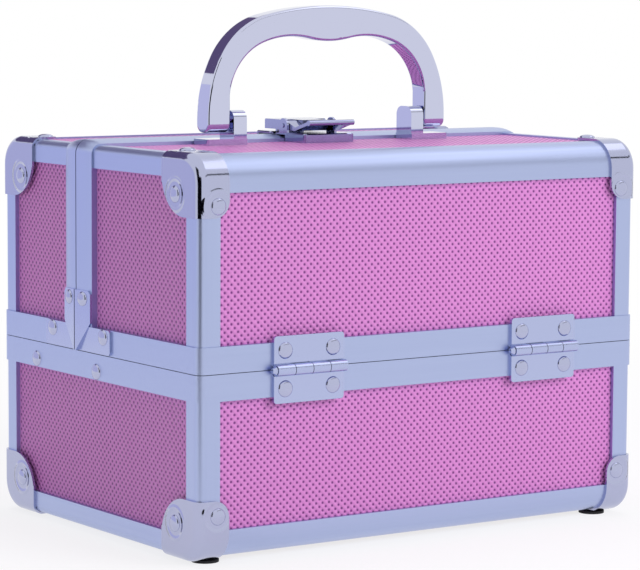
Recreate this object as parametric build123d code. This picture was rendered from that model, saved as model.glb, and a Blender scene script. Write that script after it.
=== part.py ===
from build123d import *
from math import atan2, degrees
import os

os.makedirs("parts", exist_ok=True)

# Frame: X along the long side, Y through the depth, Z up, origin on the floor under the middle.
# The long face with the two hinges of the main lid looks to -Y.

# ---- The closed body: aluminium extrusions over thin boards ----
case_length = 238.6
case_depth = 173.1
base_height = 80.8
lid_height = 93.0
foot_height = 2.2
long_edge_radius = 12.5
end_edge_radius = 3.5
frame_wall = 2.0
top_recess = 0.8
board = 3.0
liner = 0.8

# ---- What of the extrusions shows on each face ----
top_rail_height = 16.0
bottom_rail_height = 13.2
long_rail_flange = 13.5
end_rail_height = 10.0
end_rail_flange = 8.0
post_width = 10.5
long_corner_block = 7.0
top_corner_block = 8.5
end_corner_block = 4.0

# ---- Parting lines ----
seam_gap = 0.3
split_gap = 0.6
split_from_front = 101.2

# ---- Rims along the seam ----
rim_proud = 0.7
rim_height = 11.6
rim_corner_radius = 4.2
rim_lip = 1.5
rim_inner_wall = 1.2
rim_inner_depth = 11.0

# ---- Raised trims along the split between the lids ----
trim_width = 11.3
trim_edge_proud = 0.8
trim_ridge_proud = 2.3
trim_crown = 0.45
trim_web = 1.2
trim_inner_wall = 1.0
trim_inner_reach = 8.0

# ---- Corner caps and rivets ----
cap_wall = 1.1
cap_inner_bevel = 2.0
cap_end_reach = 29.0
cap_drop = 26.5
cap_end_radius = 18.0
cap_long_reach = 14.5
cap_long_radius = 7.5
rivet_radius = 3.7
rivet_height = 1.3
rivet_sides = 10
rivet_crown = 0.55
cap_rivet_from_end = 8.8
cap_rivet_drop = 21.5
cap_rivet_on_end = 18.0
cap_rivet_end_drop = 17.0
cap_rivet_top_inset = 24.0
low_cap_rivet_drop = 19.7
low_cap_rivet_end_drop = 15.0

# ---- Feet ----
foot_radius = 6.0
foot_from_end = 11.5
foot_from_face = 13.5

# ---- Hinges ----
hinge_centre = 64.6
hinge_width = 36.5
leaf_height = 14.5
leaf_wall = 1.5
leaf_corner = 1.5
knuckle_radius = 2.6
knuckle_count = 4
knuckle_gap = 0.3
hinge_pin_radius = 1.2
hinge_pin_head_radius = 2.0
hinge_pin_head = 1.8
running_fit = 0.05
hinge_rivet_pitch = 24.8
hinge_rivet_height = 8.3

# ---- Gusset brackets at the foot of the split ----
gusset_wall = 1.0
gusset_rise = 16.2
gusset_wing = 28.5
gusset_ridge_gap = 0.6
gusset_taper = 1.6
gusset_rivet_up = 12.3
gusset_rivet_out = 22.5
gusset_side_rivet_radius = 3.3

# ---- Handle ----
handle_from_split = 18.65
handle_depth = 11.0
handle_edge = 1.5
handle_half_span = 66.5
handle_leg = 12.0
handle_rise = 51.3
# Where the arch's outer arcs meet, out from the middle for the drawn half span and down from the top.
handle_drawn_span = 66.5
handle_outer_joints = ((0.0, 0.0), (34.8, 4.1), (59.6, 23.3), (66.5, 51.3))
# Where the arcs under the grip meet, in from the leg and down from the top.
handle_grip_depth = 16.4
handle_grip_joints = ((43.5, 15.2), (18.5, 16.8), (0.0, 40.6))
handle_eye_radius = 6.3
pivot_above_panel = 11.8
pivot_pin_radius = 2.0
pivot_pin_reach = 7.0
post_thickness = 7.0
post_depth = 12.0
post_rise = 15.6
post_gap = 1.2
post_foot_wall = 2.8
post_foot_overhang = 1.0
post_foot_depth = 13.0

# ---- Latch ----
latch_centre = -3.0
latch_half_width = 14.0
latch_front_from_split = 28.65
latch_back_from_split = 2.65
latch_wall = 1.0
latch_corner = 2.0
latch_deck = 4.2
ear_wall = 1.2
ear_radius = 3.4
latch_pivot_from_split = 10.15
latch_pivot_up = 3.2
latch_pin_radius = 1.0
lever_gap = 0.3
lever_wall = 1.6
lever_reach = 19.0
lever_rise = 3.2
lever_lip = 2.6
lever_boss_radius = 2.2
lever_neck = 8.0
hook_pivot_out = 3.4
hook_pivot_down = 0.4
hook_half_width = 6.5
hook_wall = 1.2
hook_lip_drop = 4.6
hook_fit = 0.4
hook_eye_radius = 1.9
hook_tip_radius = 0.9
claw_from_pivot = 4.0
keeper_half_width = 13.0
keeper_length = 13.5
keeper_from_split = 1.2
keeper_bar_height = 2.6
keeper_bar_wall = 1.5
keeper_bar_from_split = 4.4

# ---- Trays on their swinging arms ----
arm_main_from_split = 15.25
arm_flap_from_split = 39.85
arm_pivot_below_seam = 8.0
arm_out = 17.0
arm_up = 30.0
arm_half_width = 4.0
arm_wall = 1.2
arm_side_gap = 0.4
stud_radius = 1.6
stud_head_radius = 2.7
stud_head = 0.5
open_pivot_clearance = 0.35
tray_wall = 1.8
tray_height = 40.0
tray_below_pivot = 2.8
tray_outside_pivot = 6.0
tray_beyond_arm = 2.9
tray_edge = 2.0
tray_parting = 0.9
tray_count = 3
hanger_length = 8.0
hanger_height = 10.0

# ---- Mirror in the main lid ----
mirror_length = 150.0
mirror_width = 62.0
mirror_wall = 2.5
mirror_clip = 7.0
mirror_clip_wall = 0.8

# ---- Planes and places worked out from the sizes ----
half_length = case_length / 2
half_depth = case_depth / 2
frame_bottom = foot_height
seam_z = frame_bottom + base_height
frame_top = seam_z + lid_height
split_y = split_from_front - half_depth
inset_inner = frame_wall + board
base_rim_top = seam_z - seam_gap / 2
base_rim_bottom = base_rim_top - rim_height
lid_rim_bottom = seam_z + seam_gap / 2
lid_rim_top = lid_rim_bottom + rim_height
panel_top = frame_top - top_recess
top_inner = panel_top - board
hinge_axis_y = -(half_depth + rim_proud + knuckle_radius)
main_lid_depth = split_from_front
flap_lid_depth = case_depth - split_from_front


def block(x0, x1, y0, y1, z0, z1):
    """A box between two corners."""
    box = Box(x1 - x0, y1 - y0, z1 - z0, align=(Align.MIN, Align.MIN, Align.MIN))
    return Pos(x0, y0, z0) * box


def both_ends(shape):
    """A piece and its copy at the other end of the case, as separate solids."""
    return Compound(children=[shape, mirror(shape, about=Plane.YZ)])


def group(shapes):
    """Like pieces kept together as separate solids."""
    return Compound(children=list(shapes))


def rivet_head(radius=rivet_radius, height=rivet_height):
    """A tapered rivet head with a few sides, standing on the XY plane."""
    foot = RegularPolygon(radius, rivet_sides)
    crown = Pos(0, 0, height) * RegularPolygon(radius * rivet_crown, rivet_sides)
    return loft([foot, crown])


def rivet_on(x, y, z, normal, radius=rivet_radius, height=rivet_height):
    """A rivet head at a place, standing out along a face's normal."""
    return Plane(origin=(x, y, z), z_dir=normal) * rivet_head(radius, height)


def rounded_bar(grow=0.0):
    """The closed case's outer form with square ends, and the edges round its two ends."""
    middle_z = (frame_bottom + frame_top) / 2
    width = case_depth + 2 * grow
    height = frame_top - frame_bottom + 2 * grow
    section = RectangleRounded(width, height, long_edge_radius + grow)
    body = extrude(Plane.YZ * Pos(0, middle_z) * section, amount=half_length + grow, both=True)
    ends = body.faces().sort_by(Axis.X)
    return body, ends[0].edges() + ends[-1].edges()


def envelope(grow=0.0):
    """The outer form with its ends rounded over."""
    rims = rounded_bar(grow)[1]
    return fillet(rims, end_edge_radius + grow)


def cap_core():
    """What a cap leaves free inside: the outer form with its ends bevelled just clear of the round."""
    rims = rounded_bar()[1]
    return chamfer(rims, cap_inner_bevel)


case_form = envelope()
cap_shell = envelope(cap_wall) - cap_core()


# ---- Base box ----
def base_front_panel():
    x = half_length - frame_wall
    y = half_depth - frame_wall
    return block(-x, x, -y, board - y, frame_bottom + long_corner_block, base_rim_top - rim_lip)


def base_end_panel():
    x = half_length - frame_wall
    y = half_depth - inset_inner
    return block(x - board, x, -y, y, frame_bottom + inset_inner, base_rim_top - rim_lip)


def base_floor_panel():
    x = half_length - end_corner_block
    y = half_depth - long_corner_block
    return block(-x, x, -y, y, frame_bottom + frame_wall, frame_bottom + inset_inner)


def base_boards():
    front = base_front_panel()
    end = base_end_panel()
    return [
        front,
        mirror(front, about=Plane.XZ),
        end,
        mirror(end, about=Plane.YZ),
        base_floor_panel(),
    ]


def base_frame():
    """Every extrusion of the base below its rim, still in one piece."""
    far = case_length
    frame = case_form & block(-far, far, -far, far, 0, base_rim_bottom)
    x = half_length - inset_inner
    y = half_depth - inset_inner
    frame = frame - block(-x, x, -y, y, frame_bottom + inset_inner, seam_z)
    window_x = half_length - post_width
    window_z = frame_bottom + bottom_rail_height
    long_windows = block(-window_x, window_x, -far, far, window_z, seam_z)
    core_y = half_depth - frame_wall
    long_windows = long_windows - block(-far, far, -core_y, core_y, 0, seam_z)
    window_y = half_depth - post_width
    end_z = frame_bottom + end_rail_height
    end_windows = block(-far, far, -window_y, window_y, end_z, seam_z)
    core_x = half_length - frame_wall
    end_windows = end_windows - block(-core_x, core_x, -far, far, 0, seam_z)
    floor_x = half_length - end_rail_flange
    floor_y = half_depth - long_rail_flange
    floor_window = block(-floor_x, floor_x, -floor_y, floor_y, 0, frame_bottom + frame_wall)
    frame = frame - long_windows - end_windows - floor_window
    for panel in base_boards():
        frame = frame - panel
    return frame


def frame_regions(y_open=None):
    """Boxes that part a frame into posts, long rails and end rails; the posts stop inside the caps."""
    far = case_length
    x = half_length - post_width
    y = half_depth - long_rail_flange
    inner = y if y_open is None else y_open
    return {
        "post": block(x, far, -far, -y, frame_bottom + long_edge_radius, frame_top - long_edge_radius),
        "long": block(-x, x, -far, -y, 0, far),
        "end": block(x, far, -y, inner, 0, far),
    }


def rim_ring(z_low, z_high, lip_low, inner_low, inner_high):
    """A channel rim over the boards' edges, as a closed ring between two heights."""
    x = half_length + rim_proud
    y = half_depth + rim_proud
    ring = block(-x, x, -y, y, z_low, z_high)
    ring = fillet(ring.edges().filter_by(Axis.Z), rim_corner_radius)
    x = half_length - inset_inner - rim_inner_wall
    y = half_depth - inset_inner - rim_inner_wall
    ring = ring - block(-x, x, -y, y, z_low, z_high)
    channel_x = half_length - frame_wall
    channel_y = half_depth - frame_wall
    channel = block(-channel_x, channel_x, -channel_y, channel_y, lip_low[0], lip_low[1])
    core_x = half_length - inset_inner
    core_y = half_depth - inset_inner
    ring = ring - (channel - block(-core_x, core_x, -core_y, core_y, lip_low[0], lip_low[1]))
    return ring - block(-core_x, core_x, -core_y, core_y, inner_low, inner_high)


def base_rim():
    channel = (base_rim_bottom, base_rim_top - rim_lip)
    return rim_ring(base_rim_bottom, base_rim_top, channel, base_rim_bottom, base_rim_top - rim_inner_depth)


def base_liner():
    """A thin lining tray that covers the boards inside the base."""
    x = half_length - inset_inner
    y = half_depth - inset_inner
    z0 = frame_bottom + inset_inner
    z1 = base_rim_top - rim_inner_depth
    outer = block(-x, x, -y, y, z0, z1)
    return outer - block(liner - x, x - liner, liner - y, y - liner, z0 + liner, z1)


def feet():
    """Flat rubber pads under the lower corner caps."""
    x = half_length - foot_from_end
    y = half_depth - foot_from_face
    foot = Cylinder(foot_radius, frame_bottom - cap_wall, align=(Align.CENTER, Align.CENTER, Align.MIN))
    return group(Pos(sx * x, sy * y, 0) * foot for sx in (-1, 1) for sy in (-1, 1))


# ---- Lids, drawn with the hinge face at -Y and the open edge at +Y ----
def open_edge(depth):
    return depth - half_depth - split_gap / 2


def lid_front_panel():
    x = half_length - frame_wall
    y = half_depth - frame_wall
    return block(-x, x, -y, board - y, lid_rim_bottom + rim_lip, frame_top - long_corner_block)


def lid_end_panel(edge):
    x = half_length - frame_wall
    y = half_depth - inset_inner
    return block(x - board, x, -y, edge - trim_web, lid_rim_bottom + rim_lip, top_inner)


def lid_top_panel(edge):
    x = half_length - end_corner_block
    y = half_depth - top_corner_block
    return block(-x, x, -y, edge - trim_web, top_inner, panel_top)


def lid_frame(edge):
    """Every extrusion of a lid above its rim up to its split trim, still in one piece."""
    far = case_length
    trim_y = edge - trim_width
    frame = case_form & block(-far, far, -far, trim_y, lid_rim_top, far)
    x = half_length - inset_inner
    y = half_depth - inset_inner
    frame = frame - block(-x, x, -y, far, 0, top_inner)
    window_x = half_length - post_width
    window_z = frame_top - top_rail_height
    frame = frame - block(-window_x, window_x, -far, frame_wall - half_depth, 0, window_z)
    window_y = half_depth - post_width
    end_z = frame_top - end_rail_height
    end_window = block(half_length - frame_wall, far, -window_y, far, 0, end_z)
    frame = frame - end_window - mirror(end_window, about=Plane.YZ)
    top_x = half_length - end_rail_flange
    top_y = half_depth - long_rail_flange
    frame = frame - block(-top_x, top_x, -top_y, far, panel_top, far)
    end = lid_end_panel(edge)
    return frame - lid_front_panel() - lid_top_panel(edge) - end - mirror(end, about=Plane.YZ)


def lid_rim(edge):
    """The lid's share of the channel rim: the long side and both ends up to the split."""
    channel = (lid_rim_bottom + rim_lip, lid_rim_top)
    inner_top = lid_rim_bottom + rim_inner_depth
    ring = rim_ring(lid_rim_bottom, lid_rim_top, channel, inner_top, lid_rim_top)
    far = case_length
    return ring & block(-far, far, -far, edge, 0, far)


def trim_section(edge):
    """The trim's convex outer plate, in depth and height over the boards' face."""
    low = frame_wall + trim_edge_proud
    high = frame_wall + trim_ridge_proud
    outer_y = edge - trim_width
    middle = ((outer_y + edge) / 2, (low + high) / 2 + trim_crown)
    outline = Polyline((outer_y, low), (outer_y, 0), (edge, 0), (edge, high))
    crown = ThreePointArc((outer_y, low), middle, (edge, high))
    return make_face([outline, crown])


def lid_trim(edge):
    """The raised trim: a hoop up one end, over the top and down the other end."""
    x = half_length - frame_wall
    z = frame_top - frame_wall
    corner = frame_wall
    section = trim_section(edge)
    leg_plane = Plane(origin=(x, 0, z - corner), x_dir=(0, 1, 0), z_dir=(0, 0, -1))
    leg = extrude(leg_plane * section, amount=z - corner - lid_rim_top)
    turn_axis = Axis((x - corner, 0, z - corner), (0, -1, 0))
    turn = revolve(leg_plane * section, axis=turn_axis, revolution_arc=90)
    top_plane = Plane(origin=(0, 0, z), x_dir=(0, 1, 0), z_dir=(1, 0, 0))
    top = extrude(top_plane * section, amount=x - corner, both=True)
    side = leg + turn
    plate = top + side + mirror(side, about=Plane.YZ)
    web_low = lid_rim_bottom + rim_lip
    core_x = x - board
    core_z = top_inner
    web = block(-x, x, edge - trim_web, edge, web_low, z)
    web = web - block(-core_x, core_x, edge - trim_web, edge, 0, core_z)
    flange_low = lid_rim_bottom + rim_inner_depth
    flange_y = edge - trim_inner_reach
    flange = block(-core_x, core_x, flange_y, edge, flange_low, core_z)
    inner_x = core_x - trim_inner_wall
    flange = flange - block(-inner_x, inner_x, flange_y, edge, 0, core_z - trim_inner_wall)
    return plate - lid_top_panel(edge) + web + flange


def lid_liner(edge):
    """A thin lining over the boards inside a lid, clear of its rim and trim."""
    x = half_length - inset_inner
    y = half_depth - inset_inner
    z0 = lid_rim_bottom + rim_inner_depth
    z1 = top_inner
    back = edge - trim_inner_reach
    outer = block(-x, x, -y, back, z0, z1)
    return outer - block(liner - x, x - liner, liner - y, back, z0, z1 - liner)


# ---- Corner caps: pressed covers over each corner of the box ----
def cap_faces(z_edge, up):
    """The three lobes of one cap at the corner of +X and -Y, with its edge height and its way."""
    far = case_length
    end_face = Rectangle(cap_end_reach + far, cap_drop + far)
    end_face = Pos(-(far - cap_end_reach) / 2, up * (far - cap_drop) / 2) * end_face
    end_corners = end_face.vertices().sort_by(Axis.X)[-2:].sort_by(Axis.Y)
    end_free = end_corners[0] if up > 0 else end_corners[-1]
    end_face = fillet(end_free, cap_end_radius)
    face_x = half_length - end_edge_radius
    end_plane = Plane(origin=(face_x, -half_depth, z_edge), x_dir=(0, 1, 0), z_dir=(1, 0, 0))
    end_lobe = extrude(end_plane * end_face, amount=far)
    long_face = Rectangle(cap_long_reach + far, cap_drop + far)
    long_face = Pos((far - cap_long_reach) / 2, up * (far - cap_drop) / 2) * long_face
    long_corners = long_face.vertices().sort_by(Axis.X)[:2].sort_by(Axis.Y)
    long_free = long_corners[0] if up > 0 else long_corners[-1]
    long_face = fillet(long_free, cap_long_radius)
    face_y = long_edge_radius - half_depth
    long_plane = Plane(origin=(half_length, face_y, z_edge), x_dir=(1, 0, 0), z_dir=(0, -1, 0))
    long_lobe = extrude(long_plane * long_face, amount=far)
    flat_face = Rectangle(cap_long_reach + far, cap_end_reach + far)
    flat_face = Pos((far - cap_long_reach) / 2, -(far - cap_end_reach) / 2) * flat_face
    flat_free = flat_face.vertices().sort_by(Axis.X)[:2].sort_by(Axis.Y)[-1]
    flat_face = fillet(flat_free, cap_long_radius)
    flat_z = z_edge - up * long_edge_radius
    flat_plane = Plane(origin=(half_length, -half_depth, flat_z), x_dir=(1, 0, 0), z_dir=(0, 0, 1))
    flat_lobe = extrude(flat_plane * flat_face, amount=up * far)
    return end_lobe + long_lobe + flat_lobe


def corner_cap(z_edge, up):
    return cap_shell & cap_faces(z_edge, up)


def cap_rivets(z_edge, up):
    """The three rivets of one cap, one on each lobe."""
    face_x = half_length + cap_wall
    face_y = -(half_depth + cap_wall)
    long_z = z_edge - up * (cap_rivet_drop if up > 0 else low_cap_rivet_drop)
    end_z = z_edge - up * (cap_rivet_end_drop if up > 0 else low_cap_rivet_end_drop)
    rivets = [
        rivet_on(half_length - cap_rivet_from_end, face_y, long_z, (0, -1, 0)),
        rivet_on(face_x, cap_rivet_on_end - half_depth, end_z, (1, 0, 0)),
    ]
    if up > 0:
        top = z_edge + cap_wall
        top_x = half_length - cap_rivet_from_end
        rivets.append(rivet_on(top_x, cap_rivet_top_inset - half_depth, top, (0, 0, 1)))
    return rivets


# ---- Hinges ----
def knuckle_span(index, centre):
    """Where one knuckle starts and ends along the pin."""
    pitch = hinge_width / knuckle_count
    start = centre - hinge_width / 2 + index * pitch
    return start + knuckle_gap / 2, start + pitch - knuckle_gap / 2


def along_x(radius, x0, x1, y, z):
    """A round bar along X."""
    bar = Cylinder(radius, x1 - x0, align=(Align.CENTER, Align.CENTER, Align.MIN))
    return Plane(origin=(x0, y, z), z_dir=(1, 0, 0)) * bar


def hinge_leaf(centre, up, indices):
    """One leaf with its knuckles, standing on the rim's outer face."""
    face_y = -(half_depth + rim_proud)
    x0 = centre - hinge_width / 2
    x1 = centre + hinge_width / 2
    z_near = seam_z + up * seam_gap / 2
    z_far = z_near + up * leaf_height
    leaf = block(x0, x1, face_y - leaf_wall, face_y, min(z_near, z_far), max(z_near, z_far))
    far_edges = leaf.edges().filter_by(Axis.Y).sort_by(Axis.Z)
    corners = far_edges[-2:] if up > 0 else far_edges[:2]
    leaf = fillet(corners, leaf_corner)
    relief = along_x(knuckle_radius + knuckle_gap, x0, x1, hinge_axis_y, seam_z)
    leaf = leaf - relief
    for index in range(knuckle_count):
        k0, k1 = knuckle_span(index, centre)
        if index in indices:
            leaf = leaf + along_x(knuckle_radius, k0, k1, hinge_axis_y, seam_z)
            z_low = min(seam_z, z_near + up * knuckle_radius)
            z_high = max(seam_z, z_near + up * knuckle_radius)
            leaf = leaf + block(k0, k1, face_y - leaf_wall, face_y - knuckle_gap, z_low, z_high)
    return leaf - along_x(hinge_pin_radius + running_fit, x0, x1, hinge_axis_y, seam_z)


def hinge_pin(centre):
    x0 = centre - hinge_width / 2
    pin = along_x(hinge_pin_radius, x0, x0 + hinge_width, hinge_axis_y, seam_z)
    head_plane = Plane(origin=(x0, hinge_axis_y, seam_z), z_dir=(-1, 0, 0))
    return pin + head_plane * rivet_head(hinge_pin_head_radius, hinge_pin_head)


def hinge_rivets(centre, up):
    """Two rivets that hold one leaf to its rim."""
    face_y = -(half_depth + rim_proud + leaf_wall)
    z = seam_z + up * hinge_rivet_height
    half_pitch = hinge_rivet_pitch / 2
    return [rivet_on(centre + side * half_pitch, face_y, z, (0, -1, 0)) for side in (-1, 1)]


hinge_places = (-hinge_centre, hinge_centre)
lid_knuckles = range(0, knuckle_count, 2)
base_knuckles = range(1, knuckle_count, 2)


# ---- Gusset brackets: stiffen the rim where the lids part ----
def gusset(edge):
    """One half bracket on the +X end: an arm over the trim and a wing over the rim."""
    rim_x = half_length + rim_proud
    ridge_x = half_length + trim_ridge_proud + gusset_wall
    outer_x = half_length + trim_edge_proud + gusset_wall
    low = lid_rim_bottom + seam_gap
    high = lid_rim_top + gusset_rise
    y1 = edge
    y0 = edge - trim_width
    arm_outline = Polyline((half_length, y0), (outer_x, y0), (ridge_x, y1), (half_length, y1), close=True)
    arm = extrude(Pos(0, 0, low) * make_face(arm_outline), amount=high - low)
    corner = arm.edges().filter_by(Axis.X).sort_by(Axis.Z)[-2:].sort_by(Axis.Y)[0]
    taper_top = lid_rim_top + gusset_taper
    taper = Polyline((y0, low), (y1 - gusset_ridge_gap, low), (y0, taper_top), close=True)
    taper_plane = Plane(origin=(half_length, 0, 0), x_dir=(0, 1, 0), z_dir=(1, 0, 0))
    arm = chamfer(corner, gusset_taper) - extrude(taper_plane * make_face(taper), amount=case_length)
    arm = arm - block(0, rim_x, -case_length, case_length, 0, lid_rim_top) - lid_trim(edge)
    wing = block(rim_x, rim_x + gusset_wall, edge - gusset_wing, edge, low, lid_rim_top)
    wing_corners = wing.edges().filter_by(Axis.X).sort_by(Axis.Y)[:2]
    wing = fillet(wing_corners, gusset_taper)
    return arm + wing


def gusset_rivets(edge):
    """One rivet through the arm and one through the wing."""
    middle = edge - trim_width / 2
    low = trim_edge_proud
    high = trim_ridge_proud
    slope = (high - low) / trim_width
    face = half_length + (low + high) / 2 + gusset_wall
    arm_plane = Plane(origin=(face, middle, lid_rim_top + gusset_rivet_up), z_dir=(1, -slope, 0))
    arm_rivet = arm_plane * rivet_head(gusset_side_rivet_radius, rivet_height)
    wing_x = half_length + rim_proud + gusset_wall
    wing_z = seam_z + hinge_rivet_height
    return [arm_rivet, rivet_on(wing_x, edge - gusset_rivet_out, wing_z, (1, 0, 0))]


# ---- Carrying handle ----
handle_y = split_y - handle_from_split
pivot_z = panel_top + pivot_above_panel
post_inner_x = handle_half_span - handle_leg - post_gap - post_thickness
post_outer_x = handle_half_span - handle_leg - post_gap


def handle_post():
    """An L bracket: its foot lies under the handle's leg, its upright carries the pivot."""
    foot_x = handle_half_span + post_foot_overhang
    y0 = handle_y - post_foot_depth / 2
    foot = block(post_inner_x, foot_x, y0, y0 + post_foot_depth, panel_top, panel_top + post_foot_wall)
    foot = fillet(foot.edges().filter_by(Axis.Z).sort_by(Axis.X)[-2:], post_foot_wall / 2)
    y0 = handle_y - post_depth / 2
    upright = block(post_inner_x, post_outer_x, y0, y0 + post_depth, panel_top, panel_top + post_rise)
    upright = fillet(upright.edges().filter_by(Axis.X).sort_by(Axis.Z)[-2:], post_depth / 3)
    return foot + upright


def handle_pin():
    """The pivot stub that stands out of a post into the handle's leg."""
    start = post_outer_x
    pin = along_x(pivot_pin_radius, start, start + post_gap + pivot_pin_reach, handle_y, pivot_z)
    return chamfer(pin.edges().sort_by(Axis.X)[-1], pivot_pin_radius / 4)


def arc_chain(points):
    """Arcs that run on smoothly from a level start through points given as (out, down)."""
    apex = pivot_z + handle_rise
    places = [(out, apex - down) for out, down in points]
    direction = (1, 0)
    arcs = []
    for start, end in zip(places, places[1:]):
        arc = TangentArc(start, end, tangent=direction)
        arcs.append(arc)
        direction = arc % 1
    return arcs


def handle():
    """A cast arch, thicker under the fingers, with round eyes at its feet."""
    leg_x = handle_half_span - handle_leg
    spread = handle_half_span / handle_drawn_span
    outer = arc_chain([(out * spread, down) for out, down in handle_outer_joints])
    grip_joints = [(leg_x - inward, down) for inward, down in handle_grip_joints]
    under = arc_chain([(0.0, handle_grip_depth)] + grip_joints)
    foot_z = pivot_z - handle_eye_radius
    outer_end = outer[-1] @ 1
    under_end = under[-1] @ 1
    foot_line = Polyline(outer_end, (outer_end.X, foot_z), (under_end.X, foot_z), under_end)
    crown = Line(under[0] @ 0, outer[0] @ 0)
    half = make_face([*outer, foot_line, *under, crown])
    face_plane = Plane(origin=(0, handle_y, 0), x_dir=(1, 0, 0), z_dir=(0, -1, 0))
    half_arch = extrude(face_plane * half, amount=handle_depth / 2, both=True)
    arch = half_arch + mirror(half_arch, about=Plane.YZ)
    feet_edges = arch.edges().filter_by(Axis.X).sort_by(Axis.Z)[:4]
    arch = fillet(feet_edges, handle_depth / 2 - handle_edge)
    rims = arch.faces().sort_by(Axis.Y)
    edges = rims[0].edges() + rims[-1].edges()
    arch = fillet(edges, handle_edge)
    bore_end = leg_x + pivot_pin_reach + post_gap
    bore = along_x(pivot_pin_radius + running_fit, leg_x - post_gap, bore_end, handle_y, pivot_z)
    return arch - bore - mirror(bore, about=Plane.YZ)


# ---- Latch: a base and lever on the main lid draw a hook over a keeper on the flap lid ----
deck_z = panel_top + latch_deck
latch_front_y = split_y - latch_front_from_split
latch_back_y = split_y - latch_back_from_split
latch_pivot_y = split_y - latch_pivot_from_split
latch_pivot_z = deck_z + latch_pivot_up
trim_top = frame_top + trim_ridge_proud
hook_pivot_y = latch_pivot_y - hook_pivot_out
hook_pivot_z = latch_pivot_z - hook_pivot_down
ear_inner = latch_half_width - ear_wall
lever_half_width = ear_inner - lever_gap
cheek_inner = hook_half_width + lever_gap
hook_low = latch_pivot_z + latch_pin_radius + hook_fit
keeper_bar_y = split_y + keeper_bar_from_split


def stamped_cover(half_width, y0, y1, open_y0, open_y1):
    """A pressed cover with its walls on the panel, cut away where it crosses the trim."""
    cover = block(-half_width, half_width, y0, y1, panel_top, deck_z)
    cover = fillet(cover.edges().filter_by(Axis.Z), latch_corner)
    cover = chamfer(cover.faces().sort_by(Axis.Z)[-1].edges(), latch_wall / 2)
    x = half_width - latch_wall
    hollow = block(-x, x, y0 + latch_wall, y1 - latch_wall, panel_top, deck_z - latch_wall)
    crossing = block(-half_width, half_width, open_y0, open_y1, panel_top, deck_z - latch_wall)
    return cover - hollow - crossing


def latch_base():
    trim_start = open_edge(main_lid_depth) - trim_width - seam_gap
    base = stamped_cover(latch_half_width, latch_front_y, latch_back_y, trim_start, latch_back_y)
    ear = block(
        ear_inner,
        latch_half_width,
        latch_pivot_y - ear_radius,
        latch_pivot_y + ear_radius,
        deck_z - latch_wall,
        latch_pivot_z,
    )
    ear = ear + along_x(ear_radius, ear_inner, latch_half_width, latch_pivot_y, latch_pivot_z)
    base = base + ear + mirror(ear, about=Plane.YZ)
    x = latch_half_width
    return base - along_x(latch_pin_radius + running_fit, -x, x, latch_pivot_y, latch_pivot_z)


def latch_pin():
    x = latch_half_width + stud_head
    return along_x(latch_pin_radius, -x, x, latch_pivot_y, latch_pivot_z)


def latch_lever():
    """Two cheeks on the pivot and a full-width thumb plate that rises to its rolled lip."""
    slot_y = latch_pivot_y - lever_neck
    tip_y = latch_pivot_y - lever_reach
    tip_z = latch_pivot_z + lever_rise - lever_boss_radius
    low_z = latch_pivot_z - lever_boss_radius
    side_plane = Plane(origin=(0, 0, 0), x_dir=(0, 1, 0), z_dir=(1, 0, 0))
    plate_outline = Polyline(
        (slot_y, low_z), (tip_y, tip_z), (tip_y, tip_z + lever_wall), (slot_y, low_z + lever_wall), close=True
    )
    plate = extrude(side_plane * make_face(plate_outline), amount=lever_half_width, both=True)
    lip_z = tip_z + lever_wall / 2
    plate = plate + along_x(lever_lip / 2, -lever_half_width, lever_half_width, tip_y, lip_z)
    cheek_outline = Polyline(
        (slot_y, low_z),
        (latch_pivot_y, low_z),
        (latch_pivot_y, latch_pivot_z + lever_boss_radius),
        (slot_y, low_z + lever_wall),
        close=True,
    )
    cheek = extrude(side_plane * make_face(cheek_outline), amount=lever_half_width)
    cheek = cheek + along_x(lever_boss_radius, 0, lever_half_width, latch_pivot_y, latch_pivot_z)
    cheek = cheek & block(cheek_inner, lever_half_width, slot_y, case_depth, 0, 2 * frame_top)
    lever = plate + cheek + mirror(cheek, about=Plane.YZ)
    x = latch_half_width
    lever = lever - along_x(latch_pin_radius + running_fit, -x, x, latch_pivot_y, latch_pivot_z)
    return lever - along_x(latch_pin_radius, -x, x, hook_pivot_y, hook_pivot_z)


def hook_pin():
    return along_x(latch_pin_radius, -lever_half_width, lever_half_width, hook_pivot_y, hook_pivot_z)


def latch_hook():
    """A claw: an eye on the lever's pin, a neck over the pivot and a wide hood with a lip."""
    lip_y = keeper_bar_y + keeper_bar_wall + hook_fit
    end_y = lip_y + hook_wall
    claw_y = latch_pivot_y + claw_from_pivot
    x = hook_half_width
    top = hook_low + hook_wall
    eye = along_x(hook_eye_radius, -x, x, hook_pivot_y, hook_pivot_z)
    y0 = hook_pivot_y - hook_eye_radius
    neck = block(-x, x, y0, hook_pivot_y + hook_eye_radius, hook_pivot_z, top)
    bridge = block(-x, x, y0, end_y, hook_low, top)
    x = lever_half_width
    hood = block(-x, x, claw_y, end_y, top - hook_lip_drop, top)
    hood = fillet(hood.edges().filter_by(Axis.X).sort_by(Axis.Y)[-2:].sort_by(Axis.Z)[-1], hook_tip_radius)
    inner = x - hook_wall
    hood = hood - block(-inner, inner, claw_y, lip_y, top - hook_lip_drop, hook_low)
    hook = eye + neck + bridge + hood
    return hook - along_x(latch_pin_radius + running_fit, -x, x, hook_pivot_y, hook_pivot_z)


def latch_keeper():
    flap_edge = split_y + split_gap / 2
    y0 = flap_edge + keeper_from_split
    trim_end = flap_edge + trim_width + seam_gap
    keeper = stamped_cover(keeper_half_width, y0, y0 + keeper_length, y0, trim_end)
    x = hook_half_width + latch_wall
    bar_top = deck_z + keeper_bar_height
    bar = block(-x, x, keeper_bar_y, keeper_bar_y + keeper_bar_wall, deck_z - latch_wall, bar_top)
    bar = fillet(bar.edges().filter_by(Axis.X).sort_by(Axis.Z)[-2:], keeper_bar_wall / 3)
    return keeper + bar


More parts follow.
